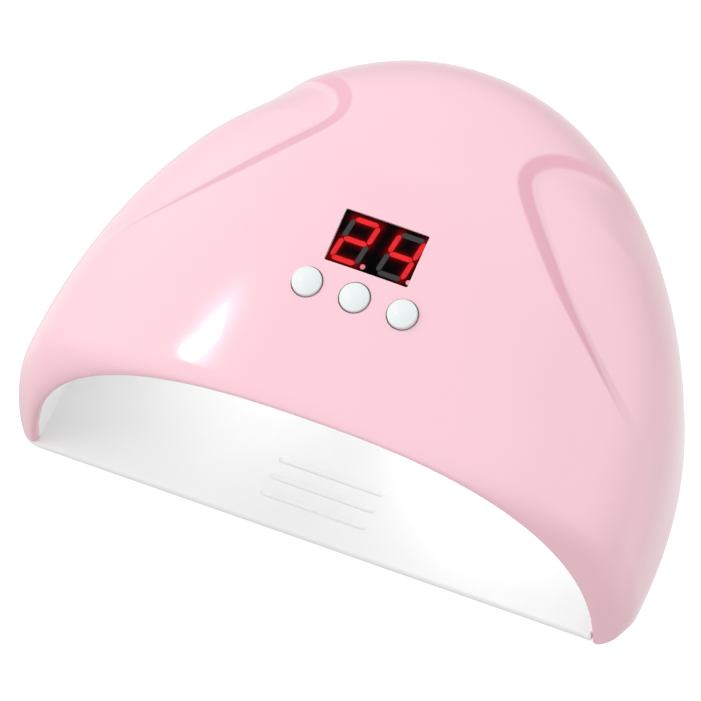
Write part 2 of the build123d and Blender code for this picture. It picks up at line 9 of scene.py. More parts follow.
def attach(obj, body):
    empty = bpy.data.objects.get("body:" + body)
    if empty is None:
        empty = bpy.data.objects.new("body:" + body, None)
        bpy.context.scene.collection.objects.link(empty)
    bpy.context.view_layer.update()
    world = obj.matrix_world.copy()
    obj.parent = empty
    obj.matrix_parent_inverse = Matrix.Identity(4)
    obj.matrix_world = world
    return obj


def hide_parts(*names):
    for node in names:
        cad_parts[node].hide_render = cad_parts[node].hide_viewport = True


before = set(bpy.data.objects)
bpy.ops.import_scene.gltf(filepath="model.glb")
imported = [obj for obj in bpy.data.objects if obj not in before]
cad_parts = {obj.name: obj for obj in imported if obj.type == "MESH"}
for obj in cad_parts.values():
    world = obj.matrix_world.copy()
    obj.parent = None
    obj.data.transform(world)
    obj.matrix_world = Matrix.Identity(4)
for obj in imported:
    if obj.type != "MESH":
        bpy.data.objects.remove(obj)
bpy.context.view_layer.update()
MM = 0.001

# ---- driving dimensions, the same as the CAD's (mm) ----------------------------------
DEPTH = 131.5
FRONT = -DEPTH / 2
SHELL_WIDTH = 189.7
SHELL_HEIGHT = 83.35
SHELL_POLE = 134.1
WIDEST_AT = 13.0
FRONT_NARROWING = 5.0
FRONT_HEIGHT = 62.3
CREST_AT = 78.0
CREST_BEND = 0.36
BACK_POWER = 3.54
SIDE_POWER = 2.1
TOP_POWER = 3.65
RIM_INSET = 1.8
RIM_DEPTH = 4.0                # how deep the front edge is rolled at the crown
RIM_SPREAD = 0.8               # how much deeper, for each mm that the rim is wider
TUCK = 1.5
TUCK_HEIGHT = 8.0
LEG_CORNER = 0.6               # how far the legs' lower front corners are drawn in
LEG_CORNER_HEIGHT = 12.0
LEG_CORNER_AT = 6.0
LEG_CORNER_SPREAD = 4.5
WALL = 2.1
RIM_THICKNESS = 2.3

ARCH_HALF_WIDTH = 85.7
ARCH_HEIGHT = 59.3
ARCH_POWER = 2.48
ARCH_EDGE = 1.3                # rounding of the arch's front edge
LINER_WALL = 1.2
LINER_POLE = 112.0
LINER_BACK = 106.0
LINER_DROP = 8.0

FOOT_RISE = 0.4
PLATE_TOP = 2.6
LIP_DEPTH = 7.6

PANEL_S = 34.3
PANEL_Z = 74.3
PANEL_TILT = math.radians(16.94)
BUTTON_PITCH = 14.6
BUTTON_RADIUS = 4.3
BUTTON_GAP = 0.4
DISPLAY_T = 16.0
WINDOW_WIDTH = 25.5
WINDOW_HEIGHT = 16.4
DISPLAY_TOP = 1.6
JACK_Z = 22.0
JACK_HOLE_RADIUS = 4.0
NUT_RECESS_RADIUS = 6.0
NUT_RECESS_DEPTH = 1.8

LED_ROWS = {"front": 36.0, "middle": 62.0, "rear": 88.0}
LED_ANGLES = (22, 50, 90, 130, 158)
BACK_LED_X = (-15.0, 0.0, 15.0)
BACK_LED_Z = 26.0
LED_HOLE_RADIUS = 3.8
SENSOR_S = 14.0
SENSOR_X = 2.8
SENSOR_HOLE_RADIUS = 1.7
CASE_POSTS = [(76.0, 70.0), (-76.0, 70.0), (30.0, 117.0), (-30.0, 117.0)]
FEET = [(-62.0, 16.0), (62.0, 16.0), (-46.0, 100.0), (46.0, 100.0)]
RIB_X = -4.0
RIB_LENGTH = 32.5
RIB_WIDTH = 1.8
RIB_HEIGHT = 0.7
RIB_PITCH = 6.2
FIRST_RIB = 9.5
FOOT_RECESS = (5.2, 1.6)       # radius and height of the pads' seats
SCREW_RECESS = (3.0, 1.8)
SCREW_HOLE_RADIUS = 1.6
VENT_PITCH = 4.5
VENT_S = 117.5
VENT_SIZE = (2.0, 9.0, 12.0)


# ---- the shell's and the cavity's shape ------------------------------------------------
def shell_half_width(s, inset=0.0):
    s = np.asarray(s, float)
    widest = SHELL_WIDTH / 2 - inset
    ahead = widest - FRONT_NARROWING * np.clip(1 - s / WIDEST_AT, 0, None) ** 2
    reach = np.clip((s - WIDEST_AT) / (SHELL_POLE - inset - WIDEST_AT), 0, 1)
    return np.where(s < WIDEST_AT, ahead, widest * np.sqrt(1 - reach ** 2))


def shell_height(s, inset=0.0):
    s = np.asarray(s, float)
    top = SHELL_HEIGHT - inset
    reach = np.clip(1 - s / CREST_AT, 0, None)
    fall = (np.hypot(reach, CREST_BEND) - CREST_BEND) / (math.hypot(1, CREST_BEND) - CREST_BEND)
    ahead = top - (SHELL_HEIGHT - FRONT_HEIGHT) * fall
    reach = np.clip((s - CREST_AT) / (SHELL_POLE - inset - CREST_AT), 0, 1)
    return np.where(s < CREST_AT, ahead, top * (1 - reach ** BACK_POWER) ** (1 / BACK_POWER))


def tuck(s, z):
    """How far the shell's lower edge turns in."""
    return TUCK * np.clip(1 - z / TUCK_HEIGHT, 0, 1) ** 2 * s / (s + TUCK_HEIGHT)


def leg_corner(s, z):
    """How far the lower front corners of the legs are drawn in, beyond the tuck."""
    along = np.exp(-((s - LEG_CORNER_AT) / LEG_CORNER_SPREAD) ** 2)
    return LEG_CORNER * np.clip(1 - z / LEG_CORNER_HEIGHT, 0, 1) ** 2 * along


def liner_half_width(s, grow=0.0):
    reach = np.clip((np.asarray(s, float) - WIDEST_AT) / (LINER_POLE + grow - WIDEST_AT), 0, 1)
    return (ARCH_HALF_WIDTH + grow) * np.sqrt(1 - reach ** 2)


def liner_height(s, grow=0.0):
    return ARCH_HEIGHT + grow - LINER_DROP * (np.clip(s, 0, None) / LINER_BACK) ** 1.5


def unit_arch(count, side_power, top_power):
    """Points of a half superellipse of unit width and height, from the left base over the top."""
    angles = np.linspace(math.pi, 0, count)
    c, s = np.abs(np.cos(angles)), np.abs(np.sin(angles))
    r = np.ones(count)
    for _ in range(60):
        value = (r * c) ** side_power + (r * s) ** top_power - 1
        slope = (side_power * (r * c) ** side_power + top_power * (r * s) ** top_power) / r
        r = np.clip(r - value / slope, 0.2, 2)
    x = r * np.cos(angles)
    z = r * s
    z[0] = z[-1] = 0.0
    return x, z


AROUND = 401
SHELL_X, SHELL_Z = unit_arch(AROUND, SIDE_POWER, TOP_POWER)
ARCH_X, ARCH_Z = unit_arch(AROUND, ARCH_POWER, ARCH_POWER)


def shell_ring(s, inset=0.0):
    """One section of the shell's outer or inner surface; s is one value or one for each point."""
    z = SHELL_Z * shell_height(s, inset)
    drawn_in = tuck(s, z) + leg_corner(s, z)
    x = SHELL_X * shell_half_width(s, inset) - np.sign(SHELL_X) * drawn_in
    return np.stack([x, np.full(AROUND, FRONT) + s, z], -1)


def arch_ring(s, grow=0.0):
    """The edge of the hand opening at distance s behind the front."""
    return np.stack([ARCH_X * (ARCH_HALF_WIDTH + grow), np.full(AROUND, FRONT + s),
                     ARCH_Z * (ARCH_HEIGHT + grow)], -1)


def liner_ring(s, grow, base):
    x = ARCH_X * float(liner_half_width(s, grow))
    z = ARCH_Z * float(liner_height(s, grow))
    return np.stack([x, np.full(AROUND, FRONT + s), np.maximum(z, base)], -1)


# ---- sunk shoulder panels ----------------------------------------------------------------
PANEL_BORDER = [(98, 32), (83, 37), (61, 51), (45, 64), (30, 80.5),
                (26.5, 90), (31, 99), (42, 106), (58, 112.5)]
PANEL_SINK = 1.8
PANEL_CORNER = (30, 88)        # plan place near the border's tightest bend
RISER_WIDTH = 3.4              # width of the slope down from the border
RISER_WIDENING = 3.0           # and how much wider it is at the corner
PANEL_REACH = 34               # how far inside the border the panel comes back up to the dome
FOLD_WIDTH = 4.2               # the slope round a panel, inside its border, that gets painted shade
FOLD_OVERLAP = 0.4             # and how far it runs out over the border
FOLD_EDGE = 0.8                # over which the painted shade fades
BEAD_REACH = 0.055             # the bead round the opening that gets painted shade, as a share of the arch's size
BEAD_DEPTH = 3.5
# how strong the painted shade on the bead is
BEAD_STRENGTH = 0.6


def smooth_path(points, per_span=24):
    """A Catmull-Rom curve through the points."""
    p = np.array([points[0]] + list(points) + [points[-1]], float)
    out = []
    for i in range(1, len(p) - 2):
        for t in np.linspace(0, 1, per_span, endpoint=False):
            a, b, c, d = p[i - 1], p[i], p[i + 1], p[i + 2]
            out.append(0.5 * (2 * b + (c - a) * t + (2 * a - 5 * b + 4 * c - d) * t ** 2
                              + (3 * b - a - 3 * c + d) * t ** 3))
    out.append(p[-2])
    return np.array(out)


BORDER = smooth_path(PANEL_BORDER)


def border_distance(x, s):
    """Signed distance in plan to a shoulder panel's border, positive inside the panel."""
    p = np.stack([np.abs(x), s], -1).reshape(-1, 1, 2)
    a, b = BORDER[None, :-1], BORDER[None, 1:]
    along = b - a
    t = np.clip(((p - a) * along).sum(-1) / (along ** 2).sum(-1), 0, 1)
    gap = p - (a + along * t[..., None])
    far = np.hypot(gap[..., 0], gap[..., 1])
    nearest = far.argmin(1)
    pick = np.arange(len(nearest))
    near = gap[pick, nearest]
    direction = along[0, nearest]
    side = direction[:, 1] * near[:, 0] - direction[:, 0] * near[:, 1]
    return (far[pick, nearest] * np.sign(side)).reshape(np.shape(x))


def smooth(t):
    t = np.clip(t, 0, 1)
    return t * t * (3 - 2 * t)


def panel_depth(x, s, z):
    """How far the shoulder panels are sunk below the dome at plan point x, s. They are deepest at
    the foot of their riser and come back up to the dome towards the sides."""
    inside = border_distance(x, s)
    corner_x, corner_s = PANEL_CORNER
    near_corner = np.exp(-((np.abs(x) - corner_x) ** 2 + (s - corner_s) ** 2) / 40 ** 2)
    riser = RISER_WIDTH + RISER_WIDENING * near_corner
    ramp = np.clip(inside / riser, 0, 1)
    rise_again = 1 - smooth((inside - riser) / PANEL_REACH)
    front_fade = smooth((z - 44) / 22)
    back_fade = smooth((109 - s) / 11)
    return PANEL_SINK * ramp * rise_again * front_fade * back_fade


# ---- mesh helpers --------------------------------------------------------------------------
def mesh_object(name, points, faces, smooth_angle=30.0):
    """A mesh object from points in millimetres, smooth except over sharp edges."""
    mesh = bpy.data.meshes.new(name)
    mesh.from_pydata((np.asarray(points, float) * MM).tolist(), [], faces)
    mesh.validate()
    built = bmesh.new()
    built.from_mesh(mesh)
    bmesh.ops.remove_doubles(built, verts=built.verts, dist=1e-6)
    bmesh.ops.recalc_face_normals(built, faces=built.faces)
    built.to_mesh(mesh)
    built.free()
    piece = bpy.data.objects.new(name, mesh)
    bpy.context.scene.collection.objects.link(piece)
    shade(piece, smooth_angle)
    return piece


def shade(piece, smooth_angle=30.0):
    piece.data.polygons.foreach_set("use_smooth", [True] * len(piece.data.polygons))
    piece.data.set_sharp_from_angle(angle=math.radians(smooth_angle))


def strip_faces(first, second, count, closed=False):
    """Quads between two rows of vertex numbers that start at first and second."""
    faces = []
    for i in range(count if closed else count - 1):
        j = (i + 1) % count
        faces.append((first + i, first + j, second + j, second + i))
    return faces


def end_faces(count, last, first=0):
    """Faces that close a stack of rings, whose first and last rings start at first and last."""
    return [tuple(range(first + count - 1, first - 1, -1)), tuple(range(last, last + count))]


def rows_mesh(rows, closed=False):
    """Points and quads of a grid made of equal rows."""
    points = np.concatenate(rows)
    count = len(rows[0])
    faces = []
    for r in range(len(rows) - 1):
        faces += strip_faces(r * count, (r + 1) * count, count, closed)
    return points, faces


def boolean(piece, cutters, operation="DIFFERENCE", smooth_angle=30.0):
    """Cuts away or joins all the cutters at once, and removes them."""
    group = bpy.data.collections.new("cutters")
    bpy.context.scene.collection.children.link(group)
    for cutter in cutters:
        group.objects.link(cutter)
    modifier = piece.modifiers.new("cut", "BOOLEAN")
    modifier.operation = operation
    modifier.solver = "MANIFOLD"
    modifier.operand_type = "COLLECTION"
    modifier.collection = group
    graph = bpy.context.evaluated_depsgraph_get()
    made = bpy.data.meshes.new_from_object(piece.evaluated_get(graph))
    piece.modifiers.clear()
    old = piece.data
    piece.data = made
    bpy.data.meshes.remove(old)
    for cutter in cutters:
        bpy.data.objects.remove(cutter)
    bpy.data.collections.remove(group)
    piece.data.name = piece.name
    shade(piece, smooth_angle)
    return piece


def ring_points(radius, count, z=0.0):
    a = np.linspace(0, 2 * math.pi, count, endpoint=False)
    return np.stack([radius * np.cos(a), radius * np.sin(a), np.full(count, z)], -1)


def lathe(name, profile, count=64, place=Matrix.Identity(4), smooth_angle=30.0):
    """A closed solid of revolution about z from (radius, z) points, placed by a mm matrix."""
    rows = [ring_points(max(r, 0.0005), count, z) for r, z in profile]
    points, faces = rows_mesh(rows, closed=True)
    last = (len(rows) - 1) * count
    faces += end_faces(count, last)
    points = [place @ Vector(p) for p in points]
    return mesh_object(name, points, faces, smooth_angle)


def block(name, size, place=Matrix.Identity(4), corner=0.0, steps=6):
    """A box, with upright edges rounded by corner, centred on its place."""
    half_x, half_y, half_z = (v / 2 for v in size)
    outline = []
    for cx, cy, start in ((1, 1, 0), (-1, 1, 90), (-1, -1, 180), (1, -1, 270)):
        for k in range(steps + 1 if corner else 1):
            a = math.radians(start + 90 * k / steps)
            outline.append((cx * (half_x - corner) + corner * math.cos(a),
                            cy * (half_y - corner) + corner * math.sin(a)))
    return prism(name, outline, -half_z, half_z, place)


def prism(name, outline, low, high, place=Matrix.Identity(4), smooth_angle=30.0):
    """An upright closed prism over a plan outline."""
    count = len(outline)
    points = [place @ Vector((x, y, low)) for x, y in outline]
    points += [place @ Vector((x, y, high)) for x, y in outline]
    faces = strip_faces(0, count, count, closed=True)
    faces += end_faces(count, count)
    return mesh_object(name, points, faces, smooth_angle)


def on_panel(x, t, depth=0.0):
    """Matrix of a place on the control panel: x across, t up the slope, z out of the shell."""
    return (Matrix.Translation((0, FRONT + PANEL_S, PANEL_Z)) @ Matrix.Rotation(PANEL_TILT, 4, "X")
            @ Matrix.Translation((x, t, -depth)))


def along_y(x, s, z):
    """Matrix with its z axis pointing out of the back of the lamp."""
    return Matrix.Translation((x, FRONT + s, z)) @ Matrix.Rotation(-math.pi / 2, 4, "X")


# ---- materials ---------------------------------------------------------------------------------
def material(name, colour, roughness, metallic=0.0, **sockets):
    """A Principled material. The other sockets are set straight on the shader."""
    made = bpy.data.materials.new(name)
    made.use_nodes = True
    shader = made.node_tree.nodes["Principled BSDF"]
    shader.inputs["Base Color"].default_value = (*colour, 1)
    shader.inputs["Roughness"].default_value = roughness
    shader.inputs["Metallic"].default_value = metallic
    for socket, value in sockets.items():
        shader.inputs[socket.replace("_", " ")].default_value = value
    return made


def node(made, kind, **settings):
    created = made.node_tree.nodes.new(kind)
    for key, value in settings.items():
        if key in created.inputs:
            created.inputs[key].default_value = value
        else:
            setattr(created, key, value)
    return created


def link(made, source, target):
    made.node_tree.links.new(source, target)


def shader_of(made):
    return made.node_tree.nodes["Principled BSDF"]


def noise_of(made, scale, detail=3.0):
    """The value of a noise texture fixed to the object."""
    where = node(made, "ShaderNodeTexCoord")
    noise = node(made, "ShaderNodeTexNoise", Scale=scale, Detail=detail)
    link(made, where.outputs["Object"], noise.inputs["Vector"])
    return noise.outputs["Fac"]


def colour_ramp(made, source, first, second, low=0.0, high=1.0):
    """Colour output that goes from first to second as the source goes from low to high."""
    ramp = node(made, "ShaderNodeValToRGB")
    for stop, position, colour in zip(ramp.color_ramp.elements, (low, high), (first, second)):
        stop.position = position
        stop.color = (*colour, 1)
    link(made, source, ramp.inputs["Fac"])
    return ramp.outputs["Color"]


def map_range(made, start, end, low, high, shape="LINEAR"):
    """Map Range node that goes from low to high between start and end."""
    ramp = node(made, "ShaderNodeMapRange", interpolation_type=shape)
    for name, value in (("From Min", start), ("From Max", end), ("To Min", low), ("To Max", high)):
        ramp.inputs[name].default_value = value
    return ramp


def vary_colour(made, first, second, scale):
    """Mixes two close colours by a noise, so that the surface isn't one flat tone."""
    colour = colour_ramp(made, noise_of(made, scale), first, second, 0.35, 0.65)
    link(made, colour, shader_of(made).inputs["Base Color"])


def vary_roughness(made, low, high, scale):
    spread = map_range(made, 0.3, 0.7, low, high)
    link(made, noise_of(made, scale, 4.0), spread.inputs["Value"])
    link(made, spread.outputs["Result"], shader_of(made).inputs["Roughness"])


def add_bump(made, scale, strength, distance):
    bump = node(made, "ShaderNodeBump", Strength=strength, Distance=distance)
    link(made, noise_of(made, scale), bump.inputs["Height"])
    link(made, bump.outputs["Normal"], shader_of(made).inputs["Normal"])


def plastic(name, colour, roughness=0.3, vary=0.04, grain=900.0, bump=0.15, **sockets):
    """Moulded plastic: close tones, uneven gloss and a fine skin."""
    made = material(name, colour, roughness, **sockets)
    darker = tuple(c * (1 - vary) for c in colour)
    vary_colour(made, darker, colour, 35.0)
    vary_roughness(made, roughness * 0.85, roughness * 1.2, grain / 6)
    add_bump(made, grain, bump, 0.00003)
    return made


def metal(name, colour, roughness=0.28, grain=1400.0):
    made = material(name, colour, roughness, metallic=1.0)
    vary_colour(made, tuple(c * 0.86 for c in colour), colour, 120.0)
    vary_roughness(made, roughness * 0.7, roughness * 1.4, 300.0)
    add_bump(made, grain, 0.2, 0.00002)
    return made


def add_painted_shade(made, attribute, colour):
    """Mixes in a deeper colour, as painted shade, where a point attribute of the mesh says so."""
    shader = shader_of(made)
    plain = shader.inputs["Base Color"].links[0].from_socket
    amount = node(made, "ShaderNodeAttribute", attribute_name=attribute)
    mix = node(made, "ShaderNodeMix", data_type="RGBA")
    colours = [socket for socket in mix.inputs if socket.type == "RGBA"]
    colours[1].default_value = (*colour, 1)
    link(made, amount.outputs["Fac"], mix.inputs[0])
    link(made, plain, colours[0])
    mixed = [socket for socket in mix.outputs if socket.type == "RGBA"][0]
    link(made, mixed, shader.inputs["Base Color"])


SHELL_PINK = plastic("shell_pink", (0.87, 0.54, 0.61), 0.13, 0.012, 260.0, 0.06,
                     Coat_Weight=0.4, Coat_Roughness=0.04)
# Painted shade: a deeper pink mixed in on the slopes round the sunk panels and on the bead round the hand
# opening.
add_painted_shade(SHELL_PINK, "painted_shade", (0.76, 0.37, 0.46))
LINER_WHITE = plastic("liner_white", (0.86, 0.86, 0.86), 0.42, 0.015, 500.0, 0.06)
BASE_WHITE = plastic("base_white", (0.84, 0.84, 0.84), 0.45, 0.015, 700.0, 0.1)
BUTTON_WHITE = plastic("button_white", (0.77, 0.82, 0.81), 0.3, 0.01, 400.0, 0.05,
                       Specular_IOR_Level=0.3, Coat_Weight=0.1, Coat_Roughness=0.08)


def finished(piece, look, body, slot, *nodes):
    """Gives a piece its material and its CAD body, and hides the CAD nodes that it stands for; the slot is
    not used.
    """
    piece.data.materials.clear()
    piece.data.materials.append(look)
    if nodes:
        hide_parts(*nodes)
    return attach(piece, body)


# ---- outer shell -----------------------------------------------------------------------------------
def outer_stations():
    """Stations of the outer rings behind the rolled rim, as shares of the way back."""
    return np.concatenate([np.linspace(0, 0.1, 16)[1:], np.linspace(0.105, 0.9, 180),
                           np.linspace(0.905, 1, 24)])


def rolled_rim():
    """The front edge's roll: how deep it goes at each point round the arch."""
    gap = np.linalg.norm((shell_ring(0.0) - arch_ring(0.0))[:, [0, 2]], axis=1)
    crown = FRONT_HEIGHT - ARCH_HEIGHT
    return RIM_DEPTH + RIM_SPREAD * np.clip(gap - crown, 0, None)


def sunk_ring(s):
    """An outer ring with the shoulder panels pressed in along the surface's normal."""
    ring = shell_ring(s)
    along = shell_ring(np.minimum(s + 0.25, DEPTH)) - shell_ring(s - 0.25)
    around = np.gradient(ring, axis=0)
    normal = np.cross(around, along)
    normal /= np.linalg.norm(normal, axis=1)[:, None]
    normal *= np.sign(normal[:, 2:3] + 1e-9)
    depth = panel_depth(ring[:, 0], s, ring[:, 2])
    return ring - normal * depth[:, None]


def shell_cutters():
    """Window, button holes, seats behind them, jack hole and the notch over the base's lip."""
    cutters = [block("cut", (WINDOW_WIDTH, WINDOW_HEIGHT, 14), on_panel(0, DISPLAY_T), 0.5),
               block("cut", (28.6, 19.6, 5), on_panel(0, DISPLAY_T, 1.55 + 2.5), 0.5),
               block("cut", (110, LIP_DEPTH + 1.2, (PLATE_TOP + 0.2) * 2),
                     Matrix.Translation((-55, FRONT - 1 + (LIP_DEPTH + 1.2) / 2, 0)))]
    for x in (-BUTTON_PITCH, 0, BUTTON_PITCH):
        hole = BUTTON_RADIUS + BUTTON_GAP
        cutters.append(lathe("cut", [(hole, -9), (hole, 6)], 96, on_panel(x, 0)))
        cutters.append(lathe("cut", [(6.2, -6), (6.2, -2.3)], 64, on_panel(x, 0)))
    jack_hole = [(JACK_HOLE_RADIUS, -10), (JACK_HOLE_RADIUS, 10)]
    cutters.append(lathe("cut", jack_hole, 64, along_y(0, DEPTH, JACK_Z)))
    nut_recess = [(NUT_RECESS_RADIUS, -NUT_RECESS_DEPTH), (NUT_RECESS_RADIUS, 3)]
    cutters.append(lathe("cut", nut_recess, 64, along_y(0, DEPTH, JACK_Z)))
    return cutters


def make_shell():
    roll = rolled_rim()
    rows = [shell_ring(DEPTH) * (0, 1, 0)]
    for share in outer_stations()[::-1]:
        rows.append(sunk_ring(roll + (DEPTH - roll) * share))
    edge = arch_ring(0, ARCH_EDGE)
    for degrees in np.linspace(0, 90, 19):
        a = math.radians(degrees)
        outer = shell_ring(roll * (1 - math.sin(a)))
        rows.append(outer * (math.cos(a), 1, math.cos(a)) + edge * (1 - math.cos(a), 0, 1 - math.cos(a)))
    for degrees in np.linspace(0, 90, 6)[1:]:
        a = math.radians(degrees)
        rows.append(arch_ring(ARCH_EDGE * (1 - math.cos(a)), ARCH_EDGE * (1 - math.sin(a))))
    rows.append(arch_ring(RIM_THICKNESS))
    for s in list(np.linspace(RIM_THICKNESS, 124, 60)) + [126, 127.5, 128.6, DEPTH - WALL]:
        rows.append(shell_ring(s, WALL))
    rows.append(shell_ring(DEPTH - WALL, WALL) * (0, 1, 0))
    points, faces = rows_mesh(rows)
    faces += close_base(len(rows))
    piece = mesh_object("shell_dome", points, faces)
    boolean(piece, shell_cutters())
    mark_painted_shade(piece)
    return finished(piece, SHELL_PINK, "casing", "shell_pink", "outer_shell")


def mark_painted_shade(piece):
    """Point attribute of painted shade: a deeper pink on the slopes round the sunk panels and on the bead
    round the hand opening, because the lights alone leave them too pale."""
    count = len(piece.data.vertices)
    place = np.empty(count * 3)
    piece.data.vertices.foreach_get("co", place)
    x, y, z = place.reshape(-1, 3).T / MM
    s = y - FRONT
    inside = border_distance(x, s)
    width = FOLD_WIDTH * smooth((s - 30) / 42) + 0.2
    slope = smooth((inside + FOLD_OVERLAP) / FOLD_EDGE) * smooth((width - inside) / FOLD_EDGE)
    slope *= smooth((z - 50) / 14) * smooth((108 - s) / 8)
    reach = ((np.abs(x) / ARCH_HALF_WIDTH) ** ARCH_POWER
             + (np.clip(z, 0, None) / ARCH_HEIGHT) ** ARCH_POWER)
    bead = smooth(1 - (reach - 1) / BEAD_REACH) * smooth((BEAD_DEPTH - s) / 2)
    # Painted shade at full strength on the panel slopes, weaker on the bead round the opening.
    painted_shade = np.maximum(slope, bead * BEAD_STRENGTH)
    attribute = piece.data.attributes.new("painted_shade", "FLOAT", "POINT")
    attribute.data.foreach_set("value", painted_shade.astype(np.float32))


def close_base(rows):
    """Faces of the flat edge under an arched solid, one polygon for each side."""
    left = tuple(r * AROUND for r in range(rows))
    right = tuple(r * AROUND + AROUND - 1 for r in reversed(range(rows)))
    return [left, right]


make_shell()


# ---- cavity lining -------------------------------------------------------------------------------
LINER_BASE = PLATE_TOP - 0.02


def led_matrices():
    """Places on the cavity's wall with z pointing out of the cavity, in mm."""
    def point(angle, s):
        a = math.radians(angle)
        x = float(liner_half_width(s)) * math.copysign(abs(math.cos(a)) ** (2 / ARCH_POWER), math.cos(a))
        z = float(liner_height(s)) * math.sin(a) ** (2 / ARCH_POWER)
        return Vector((x, FRONT + s, z))
    places = []
    for s in LED_ROWS.values():
        for angle in LED_ANGLES:
            along = (point(angle, s + 1) - point(angle, s - 1)).normalized()
            around = point(angle + 1, s) - point(angle - 1, s)
            out = along.cross(around).normalized()
            across = out.cross(along)
            turn = Matrix((along, across, out)).transposed().to_4x4()
            places.append(Matrix.Translation(point(angle, s)) @ turn)
    for x in BACK_LED_X:
        places.append(along_y(x, LINER_BACK, BACK_LED_Z))
    return places


def make_liner():
    rows = [liner_ring(LINER_BACK + LINER_WALL, LINER_WALL, LINER_BASE) * (0, 1, 0) + (0, 0, LINER_BASE)]
    for s in np.linspace(LINER_BACK + LINER_WALL, RIM_THICKNESS + 0.1, 90):
        rows.append(liner_ring(s, LINER_WALL, LINER_BASE))
    for s in np.linspace(RIM_THICKNESS + 0.1, LINER_BACK, 90):
        rows.append(liner_ring(s, 0.0, LINER_BASE))
    rows.append(liner_ring(LINER_BACK, 0.0, LINER_BASE) * (0, 1, 0) + (0, 0, LINER_BASE))
    points, faces = rows_mesh(rows)
    faces += close_base(len(rows))
    piece = mesh_object("cavity_lining", points, faces)
    cutters = []
    for place in led_matrices():
        cutters.append(lathe("cut", [(LED_HOLE_RADIUS, -3), (LED_HOLE_RADIUS, 4)], 48, place))
    for x in (-SENSOR_X, SENSOR_X):
        place = Matrix.Translation((x, FRONT + SENSOR_S, 60))
        cutters.append(lathe("cut", [(SENSOR_HOLE_RADIUS, -5), (SENSOR_HOLE_RADIUS, 5)], 32, place))
    boolean(piece, cutters)
    return finished(piece, LINER_WHITE, "casing", "liner_white", "inner_liner")


make_liner()


# ---- base plate --------------------------------------------------------------------------------------
LIP_RIGHT = ARCH_HALF_WIDTH - 0.2      # the right leg comes down in front of the lip's end


def plate_half_width(s):
    """Half-width of the base plate: a lip under the left leg's end, then inside the shell's wall."""
    if s < LIP_DEPTH:
        rounding = RIM_INSET * (1 - math.sqrt(max(0, 1 - (1 - min(s, RIM_DEPTH) / RIM_DEPTH) ** 2)))
        corner = 3.0
        bend = corner - math.sqrt(corner ** 2 - (corner - min(s, corner)) ** 2)
        return float(shell_half_width(s) - rounding - tuck(s, 0.0)) - 0.4 - bend
    return inner_half_width(s)


def inner_half_width(s):
    return float(shell_half_width(s, WALL) - tuck(s, 0.0)) - 0.3


def inset_outline(outline, inset):
    """Moves every point of a closed plan outline inwards along its corner's bisector."""
    p = np.asarray(outline, float)
    along = np.roll(p, -1, 0) - np.roll(p, 1, 0)
    along /= np.linalg.norm(along, axis=1)[:, None]
    inward = np.stack([-along[:, 1], along[:, 0]], -1)
    return p + inward * inset


def rounded_slab(name, outline, low, high, radius_low, radius_high, steps=5):
    """A flat slab whose upper and lower edges are rounded; the outline runs anticlockwise."""
    rows = []
    for k in range(steps + 1):
        a = math.radians(90 * k / steps)
        ring = inset_outline(outline, radius_low * (1 - math.sin(a)))
        rows.append(np.column_stack([ring, np.full(len(ring), low + radius_low * (1 - math.cos(a)))]))
    for k in range(steps + 1):
        a = math.radians(90 * k / steps)
        ring = inset_outline(outline, radius_high * (1 - math.cos(a)))
        rows.append(np.column_stack([ring, np.full(len(ring), high - radius_high * (1 - math.sin(a)))]))
    points, faces = rows_mesh(rows, closed=True)
    count = len(outline)
    last = (len(rows) - 1) * count
    faces += end_faces(count, last)
    return mesh_object(name, points, faces, 40)


def rib(row):
    """A low ridge with a rounded back and rounded ends."""
    steps = 7
    rows = []
    for k in range(steps + 1):
        a = math.radians(90 * k / steps)
        radius = RIB_WIDTH / 2 * math.cos(a)
        height = RIB_HEIGHT * math.sin(a)
        straight = (RIB_LENGTH - RIB_WIDTH) / 2
        ends = []
        for side, start in ((1, -90), (-1, 90)):
            for q in range(9):
                b = math.radians(start + 180 * q / 8)
                ends.append((side * straight + max(radius, 0.01) * math.cos(b),
                             max(radius, 0.01) * math.sin(b), height))
        rows.append(np.array(ends) + (RIB_X, FRONT + FIRST_RIB + row * RIB_PITCH, PLATE_TOP))
    rows.insert(0, rows[0] - (0, 0, 0.8))
    points, faces = rows_mesh(rows, closed=True)
    count = len(rows[0])
    last = (len(rows) - 1) * count
    faces += end_faces(count, last)
    return mesh_object("cut", points, faces, 60)


